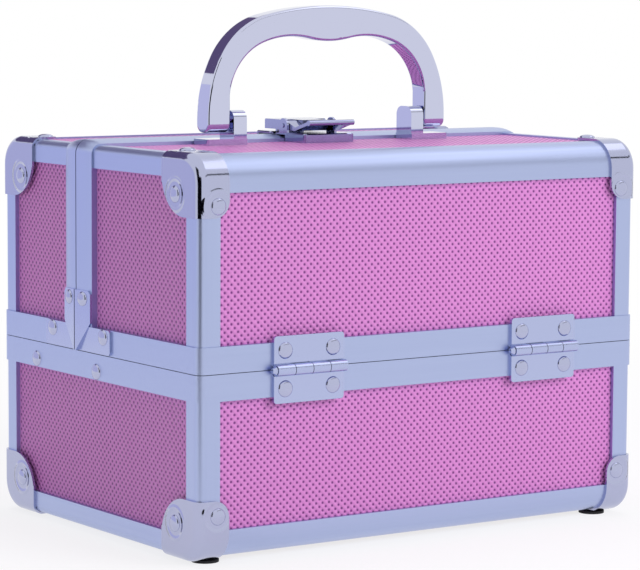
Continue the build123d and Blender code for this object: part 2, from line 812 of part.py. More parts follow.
# ---- Trays, each carried by its lid and a pair of arms ----
arm_pivot_z = seam_z - arm_pivot_below_seam
arm_pivot_main_y = split_y - arm_main_from_split
arm_pivot_flap_y = split_y + arm_flap_from_split
hanger_y = hinge_axis_y + arm_out
hanger_z = seam_z + arm_up
rim_inner_x = half_length - inset_inner - rim_inner_wall
arm_outer_x = rim_inner_x - arm_side_gap
arm_inner_x = arm_outer_x - arm_wall
tray_half_length = arm_inner_x - stud_head - arm_side_gap
liner_inner_x = half_length - inset_inner - liner


def tray(pivot_y, y1):
    """A tray with its arm ears and moulded studs, drawn for the hinge face at -Y."""
    ear_y = pivot_y + arm_out
    ear_z = arm_pivot_z + arm_up
    y0 = hanger_y - tray_outside_pivot
    z0 = hanger_z - tray_below_pivot
    x = tray_half_length
    outer = block(-x, x, y0, y1, z0, z0 + tray_height)
    low_edges = outer.edges().filter_by(Axis.X).sort_by(Axis.Z)[:2]
    outer = fillet(low_edges, tray_edge)
    pitch = (2 * x - tray_wall) / tray_count
    for index in range(tray_count):
        x0 = tray_wall - x + index * pitch
        x1 = x0 + pitch - tray_wall
        well = block(x0, x1, y0 + tray_wall, y1 - tray_wall, z0 + tray_wall, z0 + tray_height)
        well = fillet(well.edges().filter_by(Axis.X).sort_by(Axis.Z)[:2], tray_edge / 2)
        outer = outer - well
    ear_high = z0 + 2 * tray_edge
    ear = block(x - tray_wall, x, ear_y - tray_beyond_arm, ear_y + tray_beyond_arm, ear_z, ear_high)
    ear = ear + along_x(tray_beyond_arm, x - tray_wall, x, ear_y, ear_z)
    ear = ear + along_x(stud_radius, x, arm_outer_x, ear_y, ear_z)
    body = outer + ear + mirror(ear, about=Plane.YZ)
    bore = along_x(stud_radius + running_fit, -x, x, hanger_y, hanger_z)
    wells = block(tray_wall - x, x - tray_wall, y0, y1, z0, z0 + tray_height)
    return body - (bore - wells)


def tray_hangers():
    """Small plates on the lid's lining, each with the stud that one end of the tray hangs on."""
    half = hanger_length / 2
    low = hanger_z - hanger_height / 2
    plate_x = liner_inner_x - liner
    plate = block(plate_x, liner_inner_x, hanger_y - half, hanger_y + half, low, low + hanger_height)
    stud = along_x(stud_radius, tray_half_length - tray_wall, plate_x, hanger_y, hanger_z)
    return both_ends(plate + stud)


def tray_arms(pivot_y):
    """The pair of swinging arms, with a running bore below and a slack bore above."""
    low = (pivot_y, arm_pivot_z)
    high = (pivot_y + arm_out, arm_pivot_z + arm_up)
    length = (arm_out**2 + arm_up**2) ** 0.5
    tilt = degrees(atan2(arm_up, arm_out))
    middle = Pos((low[0] + high[0]) / 2, (low[1] + high[1]) / 2)
    outline = middle * Rot(0, 0, tilt) * SlotCenterToCenter(length, 2 * arm_half_width)
    arm_plane = Plane(origin=(arm_inner_x, 0, 0), x_dir=(0, 1, 0), z_dir=(1, 0, 0))
    arm = extrude(arm_plane * outline, amount=arm_wall)
    arm = arm - along_x(stud_radius + running_fit, arm_inner_x, arm_outer_x, low[0], low[1])
    slack = stud_radius + open_pivot_clearance
    arm = arm - along_x(slack, arm_inner_x, arm_outer_x, high[0], high[1])
    return both_ends(arm)


def arm_studs(pivot_y):
    """The headed studs inside the base rim that one pair of arms turns on."""
    head_x = arm_inner_x - running_fit
    stud = along_x(stud_radius, head_x - stud_head, rim_inner_x, pivot_y, arm_pivot_z)
    return stud + along_x(stud_head_radius, head_x - stud_head, head_x, pivot_y, arm_pivot_z)


# ---- Mirror ----
mirror_top = top_inner - liner
mirror_y = (open_edge(main_lid_depth) - trim_inner_reach + liner + inset_inner - half_depth) / 2


def mirror_glass():
    x = mirror_length / 2
    y = mirror_width / 2
    glass = block(-x, x, mirror_y - y, mirror_y + y, mirror_top - mirror_wall, mirror_top)
    return chamfer(glass.faces().sort_by(Axis.Z)[0].edges(), mirror_wall / 4)


def mirror_clips():
    """Four bent clips that hold the mirror's corners to the lid's lining."""
    low = mirror_top - mirror_wall - mirror_clip_wall
    x = mirror_length / 2 - mirror_clip
    y = mirror_width / 2
    half = mirror_clip / 2
    shelf = block(x - half, x + half, y - half, y + mirror_clip_wall, low, low + mirror_clip_wall)
    riser = block(x - half, x + half, y, y + mirror_clip_wall, low, mirror_top)
    clip = Pos(0, mirror_y, 0) * (shelf + riser)
    other = mirror(clip, about=Plane.XZ.offset(-mirror_y))
    return group([clip, other, mirror(clip, about=Plane.YZ), mirror(other, about=Plane.YZ)])


# ---- Putting the pieces together ----
def four_corners(shape):
    near = [shape, mirror(shape, about=Plane.YZ)]
    return near + [mirror(piece, about=Plane.XZ) for piece in near]


def two_ends(shape):
    return [shape, mirror(shape, about=Plane.YZ)]


def base_nodes():
    frame = base_frame()
    regions = frame_regions()
    long_rail = frame & regions["long"]
    front = base_front_panel()
    base_leaves = [hinge_leaf(centre, -1, base_knuckles) for centre in hinge_places]
    pins = [hinge_pin(centre) for centre in hinge_places]
    rivets = []
    for rivet in cap_rivets(frame_bottom, -1):
        rivets.extend(four_corners(rivet))
    for centre in hinge_places:
        for rivet in hinge_rivets(centre, -1):
            rivets.extend([rivet, mirror(rivet, about=Plane.XZ)])
    studs = []
    for pivot_y in (arm_pivot_main_y, arm_pivot_flap_y):
        rivets.extend(two_ends(rivet_on(half_length + rim_proud, pivot_y, arm_pivot_z, (1, 0, 0))))
        studs.extend(two_ends(arm_studs(pivot_y)))
    return {
        "base_front_panel": front,
        "base_rear_panel": mirror(front, about=Plane.XZ),
        "base_end_panels": both_ends(base_end_panel()),
        "base_floor_panel": base_floor_panel(),
        "base_long_rails": group([long_rail, mirror(long_rail, about=Plane.XZ)]),
        "base_end_rails": both_ends(frame & regions["end"]),
        "base_corner_posts": group(four_corners(frame & regions["post"])),
        "base_rim": base_rim(),
        "base_liner": base_liner(),
        "base_corner_caps": group(four_corners(corner_cap(frame_bottom, -1))),
        "base_rivets": group(rivets),
        "base_feet": feet(),
        "base_hinge_leaves": group(base_leaves + [mirror(leaf, about=Plane.XZ) for leaf in base_leaves]),
        "hinge_pins": group(pins + [mirror(pin, about=Plane.XZ) for pin in pins]),
        "tray_arm_studs": group(studs),
    }


def lid_nodes(name, long_side, depth, arm_pivot_y, tray_edge_y):
    """A whole lid with its tray, drawn with its hinge face at -Y."""
    edge = open_edge(depth)
    frame = lid_frame(edge)
    regions = frame_regions(edge - trim_width)
    rivets = []
    for rivet in cap_rivets(frame_top, 1) + gusset_rivets(edge):
        rivets.extend(two_ends(rivet))
    for centre in hinge_places:
        rivets.extend(hinge_rivets(centre, 1))
    return {
        f"{name}_{long_side}_panel": lid_front_panel(),
        f"{name}_end_panels": both_ends(lid_end_panel(edge)),
        f"{name}_top_panel": lid_top_panel(edge),
        f"{name}_{long_side}_rail": frame & regions["long"],
        f"{name}_end_rails": both_ends(frame & regions["end"]),
        f"{name}_corner_posts": both_ends(frame & regions["post"]),
        f"{name}_rim": lid_rim(edge),
        f"{name}_trim": lid_trim(edge),
        f"{name}_liner": lid_liner(edge),
        f"{name}_corner_caps": both_ends(corner_cap(frame_top, 1)),
        f"{name}_rivets": group(rivets),
        f"{name}_hinge_leaves": group([hinge_leaf(centre, 1, lid_knuckles) for centre in hinge_places]),
        f"{name}_gussets": both_ends(gusset(edge)),
        f"{name}_tray_hangers": tray_hangers(),
        f"{name}_tray": tray(arm_pivot_y, tray_edge_y),
        f"{name}_tray_arms": tray_arms(arm_pivot_y),
    }


def top_nodes():
    """What stands on the lids or hangs inside the main one; the latch sits a little to one side."""
    to_latch = Pos(latch_centre, 0, 0)
    return {
        "mirror_glass": mirror_glass(),
        "mirror_clips": mirror_clips(),
        "handle_posts": both_ends(handle_post()),
        "handle_pins": both_ends(handle_pin()),
        "handle": handle(),
        "latch_base": to_latch * latch_base(),
        "latch_pin": to_latch * latch_pin(),
        "latch_lever": to_latch * latch_lever(),
        "latch_hook_pin": to_latch * hook_pin(),
        "latch_hook": to_latch * latch_hook(),
        "latch_keeper": to_latch * latch_keeper(),
    }


nodes = base_nodes()
main_tray_edge = arm_pivot_main_y + arm_out + tray_beyond_arm
nodes.update(lid_nodes("main_lid", "front", main_lid_depth, arm_pivot_main_y, main_tray_edge))
flap_tray_edge = -(main_tray_edge + tray_parting)
flap_nodes = lid_nodes("flap_lid", "rear", flap_lid_depth, -arm_pivot_flap_y, flap_tray_edge)
nodes.update({name: mirror(shape, about=Plane.XZ) for name, shape in flap_nodes.items()})
nodes.update(top_nodes())

for name, shape in nodes.items():
    export_step(shape, f"parts/{name}.step")
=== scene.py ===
import math

import bpy
from mathutils import Matrix, Vector


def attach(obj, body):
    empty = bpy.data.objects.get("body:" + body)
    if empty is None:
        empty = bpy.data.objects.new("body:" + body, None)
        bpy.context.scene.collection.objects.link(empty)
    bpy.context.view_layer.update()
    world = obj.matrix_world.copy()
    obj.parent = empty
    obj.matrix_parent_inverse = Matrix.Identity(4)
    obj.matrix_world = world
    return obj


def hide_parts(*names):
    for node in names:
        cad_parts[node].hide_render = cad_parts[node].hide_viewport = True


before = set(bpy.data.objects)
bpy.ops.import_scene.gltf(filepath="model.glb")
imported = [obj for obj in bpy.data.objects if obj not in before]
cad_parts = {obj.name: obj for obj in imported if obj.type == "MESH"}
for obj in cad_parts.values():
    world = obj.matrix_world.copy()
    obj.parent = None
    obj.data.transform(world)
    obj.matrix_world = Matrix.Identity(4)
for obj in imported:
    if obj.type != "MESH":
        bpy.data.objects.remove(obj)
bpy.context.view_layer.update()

# ---- Boards ----
# Thin wooden boards faced with glossy pink plastic film. The film is pressed with small raised
# lozenges in staggered rows, with a pit between each four of them. The pits are coloured dark
# magenta as painted shade in the hollows, which gives the eye a fine even dotting.
LOZENGE_PITCH = 0.0034
LOZENGE_DEPTH = 0.0007
LOZENGE_RELIEF = 0.8
PIT_BOTTOM = -0.9
CREST_TOP = 0.75
PIT_SHADE_SHARE = 0.42
# Painted shade: the dark colour the pits between the lozenges are given.
FILM_PIT_SHADE = "#6C2674"
FILM_CREST = "#DB8DCE"
FILM_GLOSS = {"Roughness": 0.42, "Specular IOR Level": 0.35}


def linear(code):
    """An sRGB hex colour as linear red, green, blue and alpha."""
    channels = [int(code[i : i + 2], 16) / 255 for i in (1, 3, 5)]
    return [c / 12.92 if c <= 0.04045 else ((c + 0.055) / 1.055) ** 2.4 for c in channels] + [1.0]


def add_node(tree, kind, settings=None, links=None):
    """A shader node with its settings, its inputs' constants and what feeds its inputs."""
    node = tree.nodes.new(kind)
    for key, value in (settings or {}).items():
        if isinstance(key, str) and hasattr(node, key):
            setattr(node, key, value)
        else:
            node.inputs[key].default_value = value
    for key, source in (links or {}).items():
        tree.links.new(source, node.inputs[key])
    return node


def start_material(name, colour, finish):
    """A material of one colour and finish, with its tree, its shader and the object's place."""
    material = bpy.data.materials.new(name)
    material.use_nodes = True
    tree = material.node_tree
    shader = tree.nodes["Principled BSDF"]
    shader.inputs["Base Color"].default_value = linear(colour)
    for key, value in finish.items():
        shader.inputs[key].default_value = value
    place = add_node(tree, "ShaderNodeTexCoord").outputs["Object"]
    return material, tree, shader, place


def embossed_film(name, first, second):
    """Glossy film whose lozenges stand in rows along two of the object's axes."""
    material, tree, shader, place = start_material(name, FILM_CREST, FILM_GLOSS)
    to_turns = {"operation": "SCALE", "Scale": 2 * math.pi / LOZENGE_PITCH}
    turns = add_node(tree, "ShaderNodeVectorMath", to_turns, {0: place})
    waves = add_node(tree, "ShaderNodeVectorMath", {"operation": "COSINE"}, {0: turns.outputs[0]})
    rows = add_node(tree, "ShaderNodeSeparateXYZ", links={0: waves.outputs[0]})
    crossing = {0: rows.outputs[first], 1: rows.outputs[second]}
    relief = add_node(tree, "ShaderNodeMath", {"operation": "MULTIPLY"}, crossing)
    span = {"From Min": PIT_BOTTOM, "From Max": CREST_TOP}
    height = add_node(tree, "ShaderNodeMapRange", span, {0: relief.outputs[0]})
    # Painted shade: the ramp runs from the dark pit colour up to the film's own pink at the
    # crests.
    crest_and_pit_shade = add_node(tree, "ShaderNodeValToRGB", links={0: height.outputs[0]})
    crest_and_pit_shade.color_ramp.elements[0].color = linear(FILM_PIT_SHADE)
    crest_and_pit_shade.color_ramp.elements[1].color = linear(FILM_CREST)
    crest_and_pit_shade.color_ramp.elements[1].position = PIT_SHADE_SHARE
    tree.links.new(crest_and_pit_shade.outputs["Color"], shader.inputs["Base Color"])
    dent = {"Strength": LOZENGE_RELIEF, "Distance": LOZENGE_DEPTH}
    bump = add_node(tree, "ShaderNodeBump", dent, {"Height": height.outputs[0]})
    tree.links.new(bump.outputs["Normal"], shader.inputs["Normal"])
    return material


def paint(material, *names):
    """Give these CAD pieces one material."""
    for name in names:
        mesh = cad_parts[name].data
        mesh.materials.clear()
        mesh.materials.append(material)


long_film = embossed_film("embossed_film_long_sides", "X", "Z")
end_film = embossed_film("embossed_film_ends", "Y", "Z")
top_film = embossed_film("embossed_film_top", "X", "Y")
paint(long_film, "base_front_panel", "base_rear_panel")
paint(long_film, "main_lid_front_panel", "flap_lid_rear_panel")
paint(end_film, "base_end_panels", "main_lid_end_panels", "flap_lid_end_panels")
paint(top_film, "base_floor_panel", "main_lid_top_panel", "flap_lid_top_panel")

# ---- Extrusions ----
# Rails, posts, channel rims and raised trims of extruded aluminium, satin anodised: a soft,
# cool sheen. The die leaves faint lines along each length, about a tenth of a millimetre
# apart in life; they are drawn some ten times coarser so that they show.
DRAWN_LINE = 0.0011
DRAWN_LENGTH = 0.09
DRAWN_DETAIL = 2.0
DRAWN_RELIEF = 0.25
DRAWN_DEPTH = 0.0001
SATIN = {"Metallic": 1.0, "Roughness": 0.36}
SMOOTHEST_LINE = 0.26
ROUGHEST_LINE = 0.46
ALUMINIUM = "#B2BDE1"


def satin_aluminium(name, along):
    """Anodised aluminium whose lines run along one axis."""
    material, tree, shader, place = start_material(name, ALUMINIUM, SATIN)
    fine = [1 / DRAWN_LENGTH if axis == along else 1 / DRAWN_LINE for axis in "XYZ"]
    stretch = {"operation": "MULTIPLY", 1: fine}
    lines = add_node(tree, "ShaderNodeVectorMath", stretch, {0: place})
    detail = {"Scale": 1.0, "Detail": DRAWN_DETAIL}
    grain = add_node(tree, "ShaderNodeTexNoise", detail, {"Vector": lines.outputs[0]})
    span = {"To Min": SMOOTHEST_LINE, "To Max": ROUGHEST_LINE}
    sheen = add_node(tree, "ShaderNodeMapRange", span, {0: grain.outputs[0]})
    tree.links.new(sheen.outputs[0], shader.inputs["Roughness"])
    groove = {"Strength": DRAWN_RELIEF, "Distance": DRAWN_DEPTH}
    bump = add_node(tree, "ShaderNodeBump", groove, {"Height": grain.outputs[0]})
    tree.links.new(bump.outputs["Normal"], shader.inputs["Normal"])
    return material


along_length = satin_aluminium("satin_aluminium_long_rails", "X")
along_depth = satin_aluminium("satin_aluminium_end_rails", "Y")
along_height = satin_aluminium("satin_aluminium_posts", "Z")
paint(along_length, "base_long_rails", "main_lid_front_rail", "flap_lid_rear_rail")
paint(along_length, "base_rim", "main_lid_rim", "flap_lid_rim")
paint(along_depth, "base_end_rails", "main_lid_end_rails", "flap_lid_end_rails")
paint(along_height, "base_corner_posts", "main_lid_corner_posts", "flap_lid_corner_posts")
paint(along_height, "main_lid_trim", "flap_lid_trim")

# ---- Corner caps ----
# Pressed steel, bright nickel plated, folded over each corner and riveted. The press leaves
# the faces a little wavy, so that what they mirror wavers, and a raised ring round each rivet.
BRIGHT_PLATE = {"Metallic": 1.0, "Roughness": 0.12}
CAP_PLATE = "#B2B6D2"
PRESS_WAVE = 0.012
PRESS_DETAIL = 1.0
PRESS_HEIGHT = 0.0004
CAP_RIPPLE = 0.25
RING_RADIUS = 0.0068
RING_WIDTH = 0.0016
CAP_FACE_X = 0.1204
CAP_FACE_Y = 0.08765
CAP_TOP_Z = 0.1771
CAP_RIVET_X = 0.1105
CAP_RIVET_Y = 0.06855
TOP_RIVET_Y = 0.06255
LOW_LONG_Z, HIGH_LONG_Z = 0.0219, 0.1545
LOW_END_Z, HIGH_END_Z = 0.0172, 0.159
CAP_RINGS = [
    (CAP_RIVET_X, CAP_FACE_Y, LOW_LONG_Z),
    (CAP_RIVET_X, CAP_FACE_Y, HIGH_LONG_Z),
    (CAP_FACE_X, CAP_RIVET_Y, LOW_END_Z),
    (CAP_FACE_X, CAP_RIVET_Y, HIGH_END_Z),
    (CAP_RIVET_X, TOP_RIVET_Y, CAP_TOP_Z),
]


def plated_steel(name, colour, finish, wave, ripple, rings=()):
    """Plate over a slightly wavy pressing, with a raised ring round each centre given.

    The rings are given for one corner. Taking each coordinate without its sign repeats
    them at the others.
    """
    material, tree, shader, place = start_material(name, colour, finish)
    grade = {"Scale": 1 / wave, "Detail": PRESS_DETAIL}
    noise = add_node(tree, "ShaderNodeTexNoise", grade, {"Vector": place})
    share = {"operation": "MULTIPLY", 1: ripple}
    height = add_node(tree, "ShaderNodeMath", share, {0: noise.outputs[0]})
    corner = add_node(tree, "ShaderNodeVectorMath", {"operation": "ABSOLUTE"}, {0: place})
    for centre in rings:
        from_rivet = {"operation": "DISTANCE", 1: centre}
        reach = add_node(tree, "ShaderNodeVectorMath", from_rivet, {0: corner.outputs[0]})
        from_ring = {"operation": "SUBTRACT", 1: RING_RADIUS}
        offset = add_node(tree, "ShaderNodeMath", from_ring, {0: reach.outputs["Value"]})
        away = add_node(tree, "ShaderNodeMath", {"operation": "ABSOLUTE"}, {0: offset.outputs[0]})
        slope = {
            "interpolation_type": "SMOOTHSTEP",
            "From Max": RING_WIDTH,
            "To Min": 1.0,
            "To Max": 0.0,
        }
        ridge = add_node(tree, "ShaderNodeMapRange", slope, {0: away.outputs[0]})
        sides = {0: height.outputs[0], 1: ridge.outputs[0]}
        height = add_node(tree, "ShaderNodeMath", {"operation": "ADD"}, sides)
    pressed = {"Strength": 1.0, "Distance": PRESS_HEIGHT}
    bump = add_node(tree, "ShaderNodeBump", pressed, {"Height": height.outputs[0]})
    tree.links.new(bump.outputs["Normal"], shader.inputs["Normal"])
    return material


cap_plate = plated_steel(
    "nickel_plated_caps", CAP_PLATE, BRIGHT_PLATE, PRESS_WAVE, CAP_RIPPLE, CAP_RINGS
)
paint(cap_plate, "base_corner_caps", "main_lid_corner_caps", "flap_lid_corner_caps")

# ---- Rivets ----
# Domed steel rivets, bright nickel plated: large ones hold the corner caps, the hinges and
# the tray arms, slightly smaller ones the brackets at the foot of the trims. Each dome
# mirrors the whole room small, with a dark edge to one side.
RIVET_PLATE = "#B4B8D4"
RIVET_RIPPLE = 0.1
RIVET_RADIUS = 0.0037
RIVET_HEIGHT = 0.0013
RIVET_SIDES = 24
RIVET_RINGS = 12
RIVET_EDGE = math.radians(60)
HINGE_RIVET_X = (-0.077, -0.0522, 0.0522, 0.077)
HINGE_FACE_Y = 0.08875
HINGE_RIVET_RISE = 0.0083
SEAM_Z = 0.083
RIM_FACE_X = 0.12
ARM_RIVET_Y = (-0.0006, 0.0545)
ARM_RIVET_Z = 0.075
BRACKET_RIVET_RADIUS = 0.0033
BRACKET_RIVET_X = 0.12185
BRACKET_RIVET_Z = 0.10705
BRACKET_TILT = 0.133
WING_RIVET_X = 0.121
WING_RIVET_Z = 0.0913
BOTH = (-1, 1)
scene = bpy.context.scene
rivet_plate = plated_steel(
    "nickel_plated_rivets", RIVET_PLATE, BRIGHT_PLATE, PRESS_WAVE, RIVET_RIPPLE
)


def clear_selection():
    """Deselect everything, so that an operator acts only on what comes next."""
    bpy.ops.object.select_all(action="DESELECT")


def rivet_head(radius):
    """One domed head, standing on the XY plane: the upper half of a ball, pressed flat."""
    clear_selection()
    bpy.ops.mesh.primitive_uv_sphere_add(
        segments=RIVET_SIDES, ring_count=RIVET_RINGS, radius=radius
    )
    head = bpy.context.object
    bpy.ops.object.mode_set(mode="EDIT")
    bpy.ops.mesh.select_all(action="SELECT")
    bpy.ops.mesh.bisect(plane_co=(0, 0, 0), plane_no=(0, 0, 1), clear_inner=True, use_fill=True)
    bpy.ops.mesh.select_all(action="SELECT")
    pressed = (1, 1, RIVET_HEIGHT / radius)
    bpy.ops.transform.resize(value=pressed, center_override=(0, 0, 0))
    bpy.ops.mesh.normals_make_consistent(inside=False)
    bpy.ops.object.mode_set(mode="OBJECT")
    bpy.ops.object.shade_smooth_by_angle(angle=RIVET_EDGE)
    return head


def set_rivets(name, body, replaced, places):
    """Copies of the heads at their places and normals, joined into one piece on a body."""
    patterns = {RIVET_RADIUS: rivet_head(RIVET_RADIUS)}
    patterns[BRACKET_RIVET_RADIUS] = rivet_head(BRACKET_RIVET_RADIUS)
    copies = []
    for centre, normal, radius in places:
        head = patterns[radius].copy()
        head.data = patterns[radius].data.copy()
        scene.collection.objects.link(head)
        turn = Vector((0, 0, 1)).rotation_difference(Vector(normal)).to_matrix().to_4x4()
        head.data.transform(Matrix.Translation(centre) @ turn)
        copies.append(head)
    for pattern in patterns.values():
        bpy.data.objects.remove(pattern)
    clear_selection()
    for head in copies:
        head.select_set(True)
    bpy.context.view_layer.objects.active = copies[0]
    bpy.ops.object.join()
    piece = copies[0]
    piece.name = name
    piece.data.materials.clear()
    piece.data.materials.append(rivet_plate)
    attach(piece, body)
    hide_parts(replaced)


def cap_places(side, long_z, end_z):
    """The two side rivets of both caps on one long side."""
    places = []
    for end in BOTH:
        long_face = (end * CAP_RIVET_X, side * CAP_FACE_Y, long_z)
        end_face = (end * CAP_FACE_X, side * CAP_RIVET_Y, end_z)
        places.append((long_face, (0, side, 0), RIVET_RADIUS))
        places.append((end_face, (end, 0, 0), RIVET_RADIUS))
    return places


def hinge_places(side, z):
    """One row of hinge rivets on a long side."""
    return [((x, side * HINGE_FACE_Y, z), (0, side, 0), RIVET_RADIUS) for x in HINGE_RIVET_X]


def lid_places(side, bracket_y, wing_y):
    """The rivets of the lid on one long side, with those of its brackets."""
    places = cap_places(side, HIGH_LONG_Z, HIGH_END_Z)
    places += hinge_places(side, SEAM_Z + HINGE_RIVET_RISE)
    for end in BOTH:
        top = (end * CAP_RIVET_X, side * TOP_RIVET_Y, CAP_TOP_Z)
        bracket = (end * BRACKET_RIVET_X, bracket_y, BRACKET_RIVET_Z)
        wing = (end * WING_RIVET_X, wing_y, WING_RIVET_Z)
        places.append((top, (0, 0, 1), RIVET_RADIUS))
        places.append((bracket, (end, side * BRACKET_TILT, 0), BRACKET_RIVET_RADIUS))
        places.append((wing, (end, 0, 0), RIVET_RADIUS))
    return places


base_places = []
for side in BOTH:
    base_places += cap_places(side, LOW_LONG_Z, LOW_END_Z)
    base_places += hinge_places(side, SEAM_Z - HINGE_RIVET_RISE)
for end in BOTH:
    for y in ARM_RIVET_Y:
        base_places.append(((end * RIM_FACE_X, y, ARM_RIVET_Z), (end, 0, 0), RIVET_RADIUS))
main_places = lid_places(side=-1, bracket_y=0.0087, wing_y=-0.00815)
flap_places = lid_places(side=1, bracket_y=0.0206, wing_y=0.03745)
set_rivets("base_rivet_heads", "base", "base_rivets", base_places)
set_rivets("main_lid_rivet_heads", "main_lid", "main_lid_rivets", main_places)
set_rivets("flap_lid_rivet_heads", "flap_lid", "flap_lid_rivets", flap_places)

# ---- Hinges, brackets and tray arms ----
# Stamped steel with a thinner, softer zinc plating than the caps: butt hinges with rolled
# knuckles, the folded brackets at the foot of the trims, and the swinging tray arms. It
# gives a paler, more blurred shine.
SOFT_PLATE = {"Metallic": 1.0, "Roughness": 0.2}
ZINC_PLATE = "#B3BBDE"
STAMPED_RIPPLE = 0.15
stamped = plated_steel(
    "zinc_plated_stampings", ZINC_PLATE, SOFT_PLATE, PRESS_WAVE, STAMPED_RIPPLE
)
paint(stamped, "base_hinge_leaves", "main_lid_hinge_leaves", "flap_lid_hinge_leaves")
paint(stamped, "hinge_pins", "tray_arm_studs", "main_lid_gussets", "flap_lid_gussets")
paint(stamped, "main_lid_tray_arms", "flap_lid_tray_arms")
paint(stamped, "main_lid_tray_hangers", "flap_lid_tray_hangers")

# ---- Handle ----
# A zinc casting, polished and chrome plated, that swings on pins in two cast posts. It
# mirrors the room sharply, and only the polisher's slight waves bend what it shows.
MIRROR_PLATE = {"Metallic": 1.0, "Roughness": 0.04}
CHROME = "#C6C9E0"
POLISH_WAVE = 0.02
POLISH_RIPPLE = 0.03
chrome = plated_steel("polished_chrome", CHROME, MIRROR_PLATE, POLISH_WAVE, POLISH_RIPPLE)
paint(chrome, "handle", "handle_posts", "handle_pins")

# ---- Latch ----
# Thin pressed steel, nickel plated, with a darker plate colour than the caps: a base with two
# ears, the lever that turns between them, and the claw that draws over the keeper's bar.
LATCH_PLATE = "#A4A8C8"
LATCH_RIPPLE = 0.1
latch_plate = plated_steel(
    "plated_latch_steel", LATCH_PLATE, BRIGHT_PLATE, PRESS_WAVE, LATCH_RIPPLE
)
paint(latch_plate, "latch_base", "latch_pin", "latch_lever")
paint(latch_plate, "latch_hook_pin", "latch_hook", "latch_keeper")

# ---- Inside ----
# Boards and rims are lined with black flocked paper, which looks dull and deep. The trays are
# moulded in finely grained black ABS, and a silvered mirror sits under four plated clips.
# Fibre and grain are finer in life; they are drawn coarser so that they show.
FLOCK = "#26252B"
FLOCK_NAP = {"Roughness": 0.95, "Sheen Weight": 0.3}
FLOCK_FIBRE = 0.0004
FLOCK_DEPTH = 0.0003
TRAY_BLACK = "#2B2B30"
TRAY_SHINE = {"Roughness": 0.45}
MOULD_GRAIN = 0.0007
MOULD_DEPTH = 0.00008
GRAIN_DETAIL = 3.0
GRAIN_RELIEF = 0.5
SILVER = "#EEF1F4"
GLASS_BACK = {"Metallic": 1.0, "Roughness": 0.02}
GLASS_WAVE = 0.05
GLASS_RIPPLE = 0.0


def grained(name, colour, finish, grain_size, depth):
    """A dull surface with a fine random grain."""
    material, tree, shader, place = start_material(name, colour, finish)
    grade = {"Scale": 1 / grain_size, "Detail": GRAIN_DETAIL}
    grain = add_node(tree, "ShaderNodeTexNoise", grade, {"Vector": place})
    pitted = {"Strength": GRAIN_RELIEF, "Distance": depth}
    bump = add_node(tree, "ShaderNodeBump", pitted, {"Height": grain.outputs[0]})
    tree.links.new(bump.outputs["Normal"], shader.inputs["Normal"])
    return material


flock = grained("black_flock", FLOCK, FLOCK_NAP, FLOCK_FIBRE, FLOCK_DEPTH)
plastic = grained("grained_abs", TRAY_BLACK, TRAY_SHINE, MOULD_GRAIN, MOULD_DEPTH)
silvered = plated_steel("silvered_glass", SILVER, GLASS_BACK, GLASS_WAVE, GLASS_RIPPLE)
paint(flock, "base_liner", "main_lid_liner", "flap_lid_liner")
paint(plastic, "main_lid_tray", "flap_lid_tray")
paint(silvered, "mirror_glass")
paint(stamped, "mirror_clips")

# ---- Feet ----
# Small round pads of moulded black rubber, glued under the lower corner caps. They are dull,
# with a slight grain from the mould.
RUBBER = "#1A1A1C"
RUBBER_DULL = {"Roughness": 0.8}
RUBBER_GRAIN = 0.0011
RUBBER_DEPTH = 0.0001
rubber = grained("black_rubber", RUBBER, RUBBER_DULL, RUBBER_GRAIN, RUBBER_DEPTH)
paint(rubber, "base_feet")

# ---- Floor ----
# A white paper sweep that fades into the white surroundings and keeps only the soft shadow.
FLOOR_SIZE = 9.0
SHADOW_FULL = 0.25
SHADOW_GONE = 0.8
SHADOW_SHARE = 0.22
WHITE = "#FFFFFF"
MATT_PAPER = {"Roughness": 1.0}


def seen_rays(tree):
    """One where the camera, a mirror or glass looks, and nothing where light bounces."""
    path = add_node(tree, "ShaderNodeLightPath")
    either = {0: path.outputs["Is Camera Ray"], 1: path.outputs["Is Glossy Ray"]}
    seen = add_node(tree, "ShaderNodeMath", {"operation": "MAXIMUM"}, either)
    either = {0: seen.outputs[0], 1: path.outputs["Is Transmission Ray"]}
    return add_node(tree, "ShaderNodeMath", {"operation": "MAXIMUM"}, either).outputs[0]


clear_selection()
bpy.ops.mesh.primitive_plane_add(size=FLOOR_SIZE)
floor = bpy.context.object
floor.name = "studio_floor"
sweep, tree, shader, place = start_material("white_sweep", WHITE, MATT_PAPER)
reach = add_node(tree, "ShaderNodeVectorMath", {"operation": "LENGTH"}, {0: place})
fade_from = {"From Min": SHADOW_FULL, "From Max": SHADOW_GONE, "To Min": 1 - SHADOW_SHARE}
fade = add_node(tree, "ShaderNodeMapRange", fade_from, {0: reach.outputs["Value"]})
shares = {0: fade.outputs[0], 1: seen_rays(tree)}
share = add_node(tree, "ShaderNodeMath", {"operation": "MULTIPLY"}, shares)
glow = add_node(tree, "ShaderNodeEmission", {"Color": linear(WHITE), "Strength": 1.0})
layers = {0: share.outputs[0], 1: shader.outputs[0], 2: glow.outputs[0]}
mix = add_node(tree, "ShaderNodeMixShader", links=layers)
tree.links.new(mix.outputs[0], tree.nodes["Material Output"].inputs["Surface"])
floor.data.materials.append(sweep)

